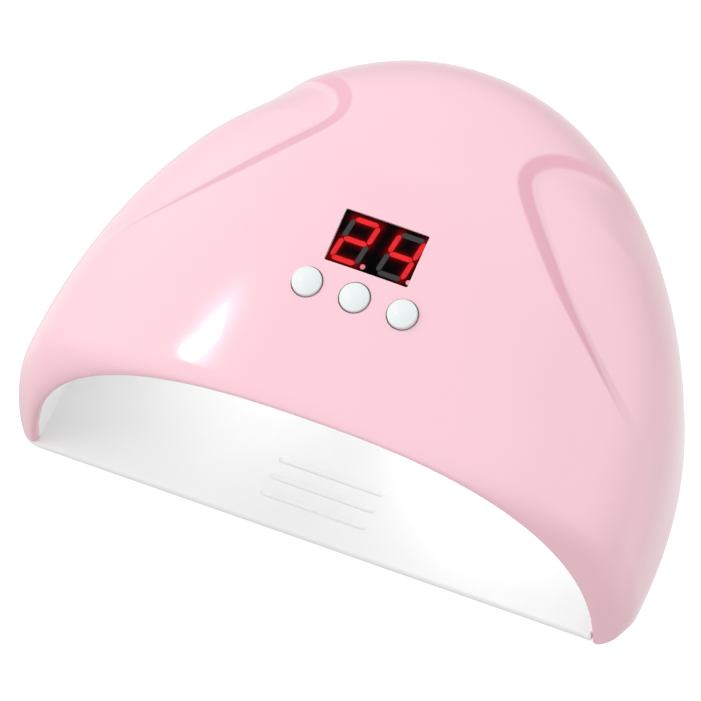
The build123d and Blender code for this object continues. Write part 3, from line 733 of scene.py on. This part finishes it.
def make_base():
    lip = [0, 0.15, 0.4, 0.8, 1.3, 2.0, 3.0, 4.5, 6.0, LIP_DEPTH - 0.01]
    inside = [LIP_DEPTH] + list(np.linspace(8.5, 120, 70)) + [122, 124, 125.5, 127, 128.2, 129.1]
    left = [(-plate_half_width(s), FRONT + s) for s in lip + inside]
    right = [(LIP_RIGHT, FRONT), (LIP_RIGHT, FRONT + 1.2), (LIP_RIGHT, FRONT + 2.4)]
    right += [(inner_half_width(s), FRONT + s) for s in [2.4, 3.5, 5, 6.5] + inside]
    across = [(x, FRONT) for x in np.linspace(left[0][0], LIP_RIGHT, 40)[1:-1]]
    outline = left[::-1] + across + right
    plate = rounded_slab("base_floor", outline, FOOT_RISE, PLATE_TOP, 0.5, 0.9)
    boolean(plate, [rib(row) for row in range(3)], "UNION", 40)
    cutters = []
    for x, s in FEET:
        radius, top = FOOT_RECESS
        cutters.append(lathe("cut", [(radius, -2), (radius, top)], 48, Matrix.Translation((x, FRONT + s, 0))))
    for x, s in CASE_POSTS:
        place = Matrix.Translation((x, FRONT + s, 0))
        radius, top = SCREW_RECESS
        cutters.append(lathe("cut", [(radius, -2), (radius, top)], 40, place))
        cutters.append(lathe("cut", [(SCREW_HOLE_RADIUS, -2), (SCREW_HOLE_RADIUS, 5)], 32, place))
    for k in range(-3, 4):
        place = Matrix.Translation((VENT_PITCH * k, FRONT + VENT_S, 0))
        cutters.append(block("cut", VENT_SIZE, place, 0.99))
    boolean(plate, cutters, "DIFFERENCE", 40)
    return finished(plate, BASE_WHITE, "casing", "base_white", "base_plate")


make_base()


# ---- buttons -------------------------------------------------------------------------------------------
def make_buttons():
    bulge = 1.1
    dome = (BUTTON_RADIUS ** 2 + bulge ** 2) / (2 * bulge)
    for name, x in (("left", -BUTTON_PITCH), ("middle", 0.0), ("right", BUTTON_PITCH)):
        profile = [(1.8, -4.3), (2.0, -4.2), (2.0, -3.5), (5.5, -3.5), (5.7, -3.3), (5.7, -2.7),
                   (5.6, -2.6), (BUTTON_RADIUS, -2.6)]
        shoulder = 0.45
        for degrees in np.linspace(0, 62, 6):
            a = math.radians(degrees)
            profile.append((BUTTON_RADIUS - shoulder * (1 - math.cos(a)), 0.3 + shoulder * math.sin(a)))
        for radius in np.linspace(BUTTON_RADIUS - 0.5, 0, 12):
            profile.append((radius, 1.65 - dome + math.sqrt(dome ** 2 - radius ** 2)))
        piece = lathe(f"push_button_{name}", profile, 72, on_panel(x, 0), 50)
        finished(piece, BUTTON_WHITE, f"button_{name}", "button_white", f"button_cap_{name}")


make_buttons()


# ---- display -----------------------------------------------------------------------------------------------
DIGIT_WIDTH = 7.5
DIGIT_HALF = 6.29
DIGIT_PITCH = 14.0
DIGIT_SHIFT = 0.23
DIGIT_LEAN = math.tan(math.radians(9.5))
STROKE = 1.5
POINT_X = 4.92
POINT_T = -6.35
POINT_RADIUS = 0.76
LIT = ("abged", "fgbc")
ENDS = {"a": ((-1, 1), (1, 1)), "g": ((-1, 0), (1, 0)), "d": ((-1, -1), (1, -1)),
        "f": ((-1, 0), (-1, 1)), "b": ((1, 0), (1, 1)), "e": ((-1, -1), (-1, 0)), "c": ((1, -1), (1, 0))}


def digit_x(digit):
    return DIGIT_SHIFT + (digit - 0.5) * DIGIT_PITCH


def segment_ends(name):
    """End points of a segment's centre line about its digit's centre, before the lean."""
    scale = np.array([DIGIT_WIDTH / 2, DIGIT_HALF])
    return np.array(ENDS[name][0]) * scale, np.array(ENDS[name][1]) * scale


def segment_outline(name, gap=0.16, corner=0.3):
    """A bar with pointed ends and softened corners."""
    start, end = segment_ends(name)
    along = (end - start) / np.linalg.norm(end - start)
    across = np.array([-along[1], along[0]]) * STROKE / 2
    start, end = start + along * gap, end - along * gap
    shoulder = along * STROKE / 2
    sharp = [start, start + shoulder + across, end - shoulder + across,
             end, end - shoulder - across, start + shoulder - across]
    soft = []
    for i, p in enumerate(sharp):
        before, after = sharp[i - 1] - p, sharp[(i + 1) % 6] - p
        first = p + before / np.linalg.norm(before) * corner
        last = p + after / np.linalg.norm(after) * corner
        for t in np.linspace(0, 1, 5):
            soft.append((1 - t) ** 2 * first + 2 * t * (1 - t) * p + t ** 2 * last)
    return [(x + y * DIGIT_LEAN, y) for x, y in soft][::-1]


def segments(name, lit, look, slot, node_name):
    """All lit or all dark segments as one piece, standing a hair above the display's face."""
    points, faces = [], []
    for digit in range(2):
        for letter in "abcdefg":
            if (letter in LIT[digit]) != lit:
                continue
            outline = segment_outline(letter)
            first, count = len(points), len(outline)
            for depth in (DISPLAY_TOP + 0.2, DISPLAY_TOP - 0.05):
                points += [on_panel(digit_x(digit) + x, DISPLAY_T + y, depth) @ Vector()
                           for x, y in outline]
            faces += strip_faces(first, first + count, count, closed=True)
            faces += end_faces(count, first + count, first)
    piece = mesh_object(name, points, faces, 40)
    return finished(piece, look, "casing", slot, node_name)


def lit_material(name, colour, strength, dim):
    """A self-lit face whose brightness wanders slightly."""
    made = material(name, colour, 0.35, Specular_IOR_Level=0.1)
    shader = shader_of(made)
    dimmer = tuple(c * dim for c in colour)
    varied = colour_ramp(made, noise_of(made, 420.0, 2.0), dimmer, colour, 0.3, 0.7)
    link(made, varied, shader.inputs["Base Color"])
    link(made, varied, shader.inputs["Emission Color"])
    shader.inputs["Emission Strength"].default_value = strength
    return made


def point_material():
    """The lit decimal points; the right one is coloured paler by its place, a painted highlight where it
    looks washed out.
    """
    made = material("point_red", (0.7, 0.2, 0.25), 0.4)
    where = node(made, "ShaderNodeTexCoord")
    split = node(made, "ShaderNodeSeparateXYZ")
    # Painted highlight: the colour turns paler towards +x, over the right decimal point.
    spread = map_range(made, -0.004, 0.013, 0.0, 1.0)
    link(made, where.outputs["Object"], split.inputs["Vector"])
    link(made, split.outputs["X"], spread.inputs["Value"])
    colour = colour_ramp(made, spread.outputs["Result"], (0.46, 0.09, 0.12), (0.60, 0.26, 0.30))
    link(made, colour, shader_of(made).inputs["Base Color"])
    link(made, colour, shader_of(made).inputs["Emission Color"])
    shader_of(made).inputs["Emission Strength"].default_value = 0.35
    return made


def glow_at(x, y):
    """Red light spilled on the display's face at a point about the display's centre."""
    light = np.zeros(np.shape(x))
    for digit in range(2):
        for letter in LIT[digit]:
            start, end = segment_ends(letter)
            p = np.stack([x - digit_x(digit) - y * DIGIT_LEAN - start[0], y - start[1]], -1)
            along = end - start
            t = np.clip((p @ along) / (along @ along), 0, 1)
            gap = np.linalg.norm(p - t[..., None] * along, axis=-1)
            light = np.maximum(light, np.exp(-np.clip(gap - STROKE / 2, 0, None) / 0.55))
    return light


def display_face_material():
    made = material("display_black", (0.002, 0.002, 0.0025), 0.42, Specular_IOR_Level=0.0)
    glow = node(made, "ShaderNodeAttribute", attribute_name="glow")
    haze = colour_ramp(made, glow.outputs["Fac"], (0, 0, 0), (0.16, 0.0, 0.0))
    link(made, haze, shader_of(made).inputs["Emission Color"])
    shader_of(made).inputs["Emission Strength"].default_value = 1.0
    vary_roughness(made, 0.36, 0.5, 300.0)
    return made


def make_display():
    columns, lines = 141, 96
    xs, ys = np.linspace(-14.0, 14.0, columns), np.linspace(-9.5, 9.5, lines)
    face_x, face_y = np.meshgrid(xs, ys)
    place = on_panel(0, DISPLAY_T, DISPLAY_TOP)
    points = [place @ Vector((x, y, 0)) for x, y in zip(face_x.ravel(), face_y.ravel())]
    faces = []
    for r in range(lines - 1):
        faces += strip_faces(r * columns, (r + 1) * columns, columns)
    rim = list(range(columns))
    rim += [r * columns + columns - 1 for r in range(1, lines)]
    rim += [(lines - 1) * columns + c for c in reversed(range(columns - 1))]
    rim += [r * columns for r in reversed(range(1, lines - 1))]
    thickness = 7.0
    under = len(points)
    local = np.stack([face_x.ravel(), face_y.ravel()], -1)
    points += [place @ Vector((*local[i], -thickness)) for i in rim]
    count = len(rim)
    for i in range(count):
        j = (i + 1) % count
        faces.append((rim[i], under + i, under + j, rim[j]))
    faces.append(tuple(range(under + count - 1, under - 1, -1)))
    piece = mesh_object("display_face", points, faces)
    inverse = place.inverted()
    flat = [inverse @ (v.co / MM) for v in piece.data.vertices]
    x, y = np.array([p.x for p in flat]), np.array([p.y for p in flat])
    light = glow_at(x, y) * (np.array([p.z for p in flat]) > -0.5)
    attribute = piece.data.attributes.new("glow", "FLOAT", "POINT")
    attribute.data.foreach_set("value", light.astype(np.float32))
    finished(piece, display_face_material(), "casing", "display_black", "display_housing")
    red = lit_material("segment_red", (0.55, 0.012, 0.016), 0.62, 0.75)
    dark = plastic("segment_dark", (0.05, 0.048, 0.05), 0.5, Specular_IOR_Level=0.05)
    segments("lit_segments", True, red, "segment_red", "display_lit_segments")
    segments("dark_segments", False, dark, "segment_dark", "display_dark_segments")
    make_points()


def make_points():
    """The two decimal points, low domes a hair above the display's face."""
    points, faces = [], []
    around = 32
    for digit in range(2):
        place = on_panel(digit_x(digit) + POINT_X, DISPLAY_T + POINT_T, DISPLAY_TOP)
        rows = [ring_points(POINT_RADIUS, around, -0.2)]
        for degrees in np.linspace(0, 80, 6):
            a = math.radians(degrees)
            rows.append(ring_points(POINT_RADIUS * math.cos(a), around, 0.04 + 0.1 * math.sin(a)))
        first = len(points)
        domed, quads = rows_mesh(rows, closed=True)
        points += [place @ Vector(p) for p in domed]
        faces += [tuple(first + i for i in quad) for quad in quads]
        last = first + len(domed) - around
        faces += end_faces(around, last, first)
    piece = mesh_object("decimal_points", points, faces, 40)
    finished(piece, point_material(), "casing", "segment_red", "display_points")


make_display()


# ---- finishes of the CAD nodes that show as they are ------------------------------------------------
def painted(look, *nodes):
    """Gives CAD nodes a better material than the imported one."""
    for name in nodes:
        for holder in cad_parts[name].material_slots:
            holder.material = look


def patterned(name, first, second, kind, scale, roughness=0.5, bump=0.2, **sockets):
    """A material whose colour and relief follow a Voronoi, wave or brick texture."""
    made = material(name, first, roughness, **sockets)
    where = node(made, "ShaderNodeTexCoord")
    texture = node(made, kind, Scale=scale)
    height = node(made, "ShaderNodeBump", Strength=bump, Distance=0.00005)
    output = texture.outputs["Fac"] if "Fac" in texture.outputs else texture.outputs["Distance"]
    link(made, where.outputs["Object"], texture.inputs["Vector"])
    link(made, colour_ramp(made, output, first, second), shader_of(made).inputs["Base Color"])
    link(made, output, height.inputs["Height"])
    link(made, height.outputs["Normal"], shader_of(made).inputs["Normal"])
    return made


def clear(name, colour, roughness=0.06, ior=1.45):
    made = material(name, colour, roughness, Transmission_Weight=1.0, IOR=ior)
    vary_roughness(made, roughness * 0.7, roughness * 1.6, 600.0)
    return made


def paint_frame():
    steel = metal("screw_steel", (0.62, 0.62, 0.64), 0.3)
    painted(steel, "case_screws", "liner_screws", "board_screws")
    painted(metal("pin_metal", (0.7, 0.7, 0.68), 0.22), "display_pins")
    painted(metal("jack_metal", (0.72, 0.72, 0.72), 0.18), "dc_jack_pin", "dc_jack_contact", "jack_nut")
    painted(metal("capacitor_can", (0.7, 0.71, 0.73), 0.35), "filter_capacitor")
    board = patterned("board_green", (0.02, 0.16, 0.06), (0.04, 0.25, 0.1),
                      "ShaderNodeTexBrick", 160.0, 0.35, 0.3)
    painted(board, "control_board")
    painted(patterned("sensor_board_green", (0.03, 0.18, 0.07), (0.05, 0.27, 0.11),
                      "ShaderNodeTexBrick", 220.0, 0.38, 0.3), "sensor_board")
    painted(plastic("chip_black", (0.03, 0.03, 0.03), 0.55, 0.3, 2500.0, 0.3),
            "controller_chip", "led_driver_chip")
    painted(plastic("resistor_black", (0.05, 0.05, 0.06), 0.45, 0.3, 3000.0, 0.2), "signal_resistors")
    painted(patterned("inductor_grey", (0.12, 0.12, 0.13), (0.2, 0.2, 0.21),
                      "ShaderNodeTexVoronoi", 1800.0, 0.6, 0.4), "power_inductor")
    painted(plastic("connector_white", (0.82, 0.8, 0.74), 0.42, 0.06, 1500.0, 0.2),
            "power_connector", "led_connector_left", "led_connector_right")
    painted(plastic("led_strip_aluminium", (0.85, 0.85, 0.85), 0.4, 0.05, 1200.0, 0.2),
            "led_board_back", "led_strip_front", "led_strip_middle", "led_strip_rear")
    painted(patterned("led_ceramic", (0.86, 0.82, 0.55), (0.9, 0.87, 0.7),
                      "ShaderNodeTexVoronoi", 1500.0, 0.5, 0.15),
            *[f"led_packages_{row}" for row in ("front", "middle", "rear", "back")])
    painted(clear("led_lens_clear", (0.96, 0.95, 1.0)),
            *[f"led_lenses_{row}" for row in ("front", "middle", "rear", "back")])
    painted(clear("emitter_clear", (0.94, 0.94, 0.98)), "sensor_emitter")
    painted(plastic("receiver_black", (0.03, 0.02, 0.05), 0.12, 0.3, 900.0, 0.05), "sensor_receiver")
    painted(plastic("jack_black", (0.025, 0.025, 0.027), 0.38, 0.25, 1800.0, 0.25), "dc_jack_housing")
    painted(plastic("lead_red", (0.55, 0.02, 0.02), 0.4, 0.12, 800.0, 0.15), "power_lead_positive")
    painted(plastic("lead_black", (0.02, 0.02, 0.02), 0.42, 0.25, 800.0, 0.15), "power_lead_negative")
    painted(plastic("lead_white", (0.82, 0.82, 0.82), 0.42, 0.06, 800.0, 0.15),
            "led_lead_left", "led_lead_right")
    rubber = patterned("foot_rubber", (0.035, 0.035, 0.036), (0.07, 0.07, 0.07),
                       "ShaderNodeTexVoronoi", 1600.0, 0.8, 0.5)
    painted(rubber, "foot_front_left", "foot_front_right", "foot_rear_left", "foot_rear_right")
    sides = ("left", "middle", "right")
    painted(plastic("plunger_black", (0.05, 0.05, 0.05), 0.4, 0.2, 1500.0, 0.2),
            *[f"switch_plunger_{side}" for side in sides])
    painted(plastic("switch_black", (0.04, 0.04, 0.04), 0.5, 0.2, 1500.0, 0.25),
            *[f"switch_body_{side}" for side in sides])
    painted(patterned("label_silver", (0.66, 0.67, 0.68), (0.78, 0.79, 0.8),
                      "ShaderNodeTexWave", 900.0, 0.35, 0.05), "rating_label")


paint_frame()


# ---- floor, lights and camera ------------------------------------------------------------------------
FLOOR_SIZE = 12000.0


def make_floor():
    half = FLOOR_SIZE / 2
    corners = [(-half, -half, -0.05), (half, -half, -0.05), (half, half, -0.05), (-half, half, -0.05)]
    floor = mesh_object("studio_floor", corners, [(0, 1, 2, 3)])
    look = material("studio_paper", (0.97, 0.97, 0.97), 0.9, Specular_IOR_Level=0.1)
    vary_colour(look, (0.955, 0.955, 0.955), (0.975, 0.975, 0.975), 4.0)
    shader_of(look).inputs["Emission Color"].default_value = (1, 1, 1, 1)
    shader_of(look).inputs["Emission Strength"].default_value = 0.5
    floor.data.materials.append(look)
    floor.visible_diffuse = False
    floor.visible_glossy = False


def softbox(name, place, aim, width, length, power, turn=0.0):
    """A rectangular area light at place, facing aim, both in mm, and turned about its axis by
    degrees; power in watts."""
    lamp = bpy.data.lights.new(name, "AREA")
    lamp.shape = "RECTANGLE"
    lamp.size, lamp.size_y = width * MM, length * MM
    lamp.energy = power
    holder = bpy.data.objects.new(name, lamp)
    bpy.context.scene.collection.objects.link(holder)
    holder.location = Vector(place) * MM
    facing = (Vector(aim) - Vector(place)).to_track_quat("-Z", "Y").to_matrix()
    holder.rotation_euler = (facing @ Matrix.Rotation(math.radians(turn), 3, "Z")).to_euler()
    return holder


def direction(azimuth, elevation):
    """Unit vector towards a place; azimuth 0 is straight in front of the lamp, 90 its right side."""
    a, e = math.radians(azimuth), math.radians(elevation)
    return Vector((math.sin(a) * math.cos(e), -math.cos(a) * math.cos(e), math.sin(e)))


def sky(name, azimuth, elevation, strength, spread):
    """Even light from a wide part of the sky; it doesn't show as a disc in glossy surfaces."""
    lamp = bpy.data.lights.new(name, "SUN")
    lamp.energy = strength
    lamp.angle = math.radians(spread)
    holder = bpy.data.objects.new(name, lamp)
    bpy.context.scene.collection.objects.link(holder)
    holder.rotation_euler = direction(azimuth, elevation).to_track_quat("Z", "Y").to_euler()
    holder.visible_glossy = False


def make_sky():
    """Even white light all round. Glossy surfaces see a bright ceiling and paler side walls."""
    world = bpy.data.worlds.new("studio")
    world.use_nodes = True
    world.cycles.sampling_method = "NONE"
    bpy.context.scene.world = world
    even = world.node_tree.nodes["Background"]
    even.inputs["Color"].default_value = (1, 1, 1, 1)
    even.inputs["Strength"].default_value = 0.68
    where = node(world, "ShaderNodeTexCoord")
    split = node(world, "ShaderNodeSeparateXYZ")
    height = map_range(world, -0.3, 0.75, 0.4, 2.1, "SMOOTHSTEP")
    aside = node(world, "ShaderNodeMath", operation="ABSOLUTE")
    walls = map_range(world, 0.45, 0.95, 0.0, 0.8, "SMOOTHSTEP")
    behind = map_range(world, 0.1, 0.6, 0.0, 0.4, "SMOOTHSTEP")
    table = map_range(world, -0.6, 0.0, 0.3, 0.0, "SMOOTHSTEP")
    sides = node(world, "ShaderNodeMath", operation="ADD")
    low = node(world, "ShaderNodeMath", operation="ADD")
    total = node(world, "ShaderNodeMath", operation="ADD")
    ceiling = node(world, "ShaderNodeBackground")
    path = node(world, "ShaderNodeLightPath")
    choose = node(world, "ShaderNodeMixShader")
    output = world.node_tree.nodes["World Output"]
    for source, out_socket, target, in_socket in (
            (where, "Generated", split, "Vector"), (split, "Z", height, "Value"), (split, "X", aside, 0),
            (aside, "Value", walls, "Value"), (split, "Y", behind, "Value"), (walls, "Result", sides, 0),
            (behind, "Result", sides, 1), (split, "Z", table, "Value"), (table, "Result", low, 0),
            (sides, "Value", low, 1), (height, "Result", total, 0), (low, "Value", total, 1),
            (total, "Value", ceiling, "Strength"), (path, "Is Glossy Ray", choose, "Fac"),
            (even, "Background", choose, 1), (ceiling, "Background", choose, 2),
            (choose, "Shader", output, "Surface")):
        link(world, source.outputs[out_socket], target.inputs[in_socket])


def make_lights():
    make_sky()
    sky("key_light", -80, 52, 0.96, 50)
    sky("top_light", 180, 65, 0.36, 60)
    sky("side_light", 100, 0, 0.42, 60)
    sky("front_light", 60, 4, 0.25, 60)
    sky("left_light", -40, 5, 0.55, 60)
    shoulder = Vector((-36, -57, 63))
    window = softbox("window_softbox", shoulder + direction(-84.2, 57) * 1400, shoulder, 78, 137, 0.9, 36)
    window.visible_diffuse = False
    for name, x, power in (("cavity_softbox_left", -44, 0.014), ("cavity_softbox_right", 42, 0.02)):
        softbox(name, (x, -22, 42), (x * 1.2, -26, 0), 44, 60, power)


VIEW_TURN = math.radians(26.89)
VIEW_RISE = math.radians(53.67)
VIEW_ROLL = math.radians(3.09)
VIEW_DISTANCE = 5000.0
VIEW_WIDTH = 196.9             # how much of the view plane the picture spans, mm
AIM_RIGHT = 10.70              # from the front face's foot to the picture's centre
AIM_UP = 54.66


def make_camera():
    turn, rise, roll = VIEW_TURN, VIEW_RISE, VIEW_ROLL
    right = Vector((math.cos(turn), math.sin(turn), 0))
    up = Vector((-math.sin(turn) * math.sin(rise), math.cos(turn) * math.sin(rise), math.cos(rise)))
    back = right.cross(up)
    camera_right = math.cos(roll) * right - math.sin(roll) * up
    camera_up = math.sin(roll) * right + math.cos(roll) * up
    aim = Vector((0, FRONT, 0)) + AIM_RIGHT * camera_right + AIM_UP * camera_up
    lens = bpy.data.cameras.new("photo_camera")
    lens.sensor_width = 36.0
    lens.lens = lens.sensor_width * VIEW_DISTANCE / VIEW_WIDTH
    lens.clip_end = 100.0
    camera = bpy.data.objects.new("photo_camera", lens)
    bpy.context.scene.collection.objects.link(camera)
    turned = Matrix((camera_right, camera_up, back)).transposed().to_4x4()
    camera.matrix_world = Matrix.Translation((aim + back * VIEW_DISTANCE) * MM) @ turned
    bpy.context.scene.camera = camera


make_floor()
make_lights()
make_camera()
bpy.context.scene.view_settings.view_transform = "Standard"
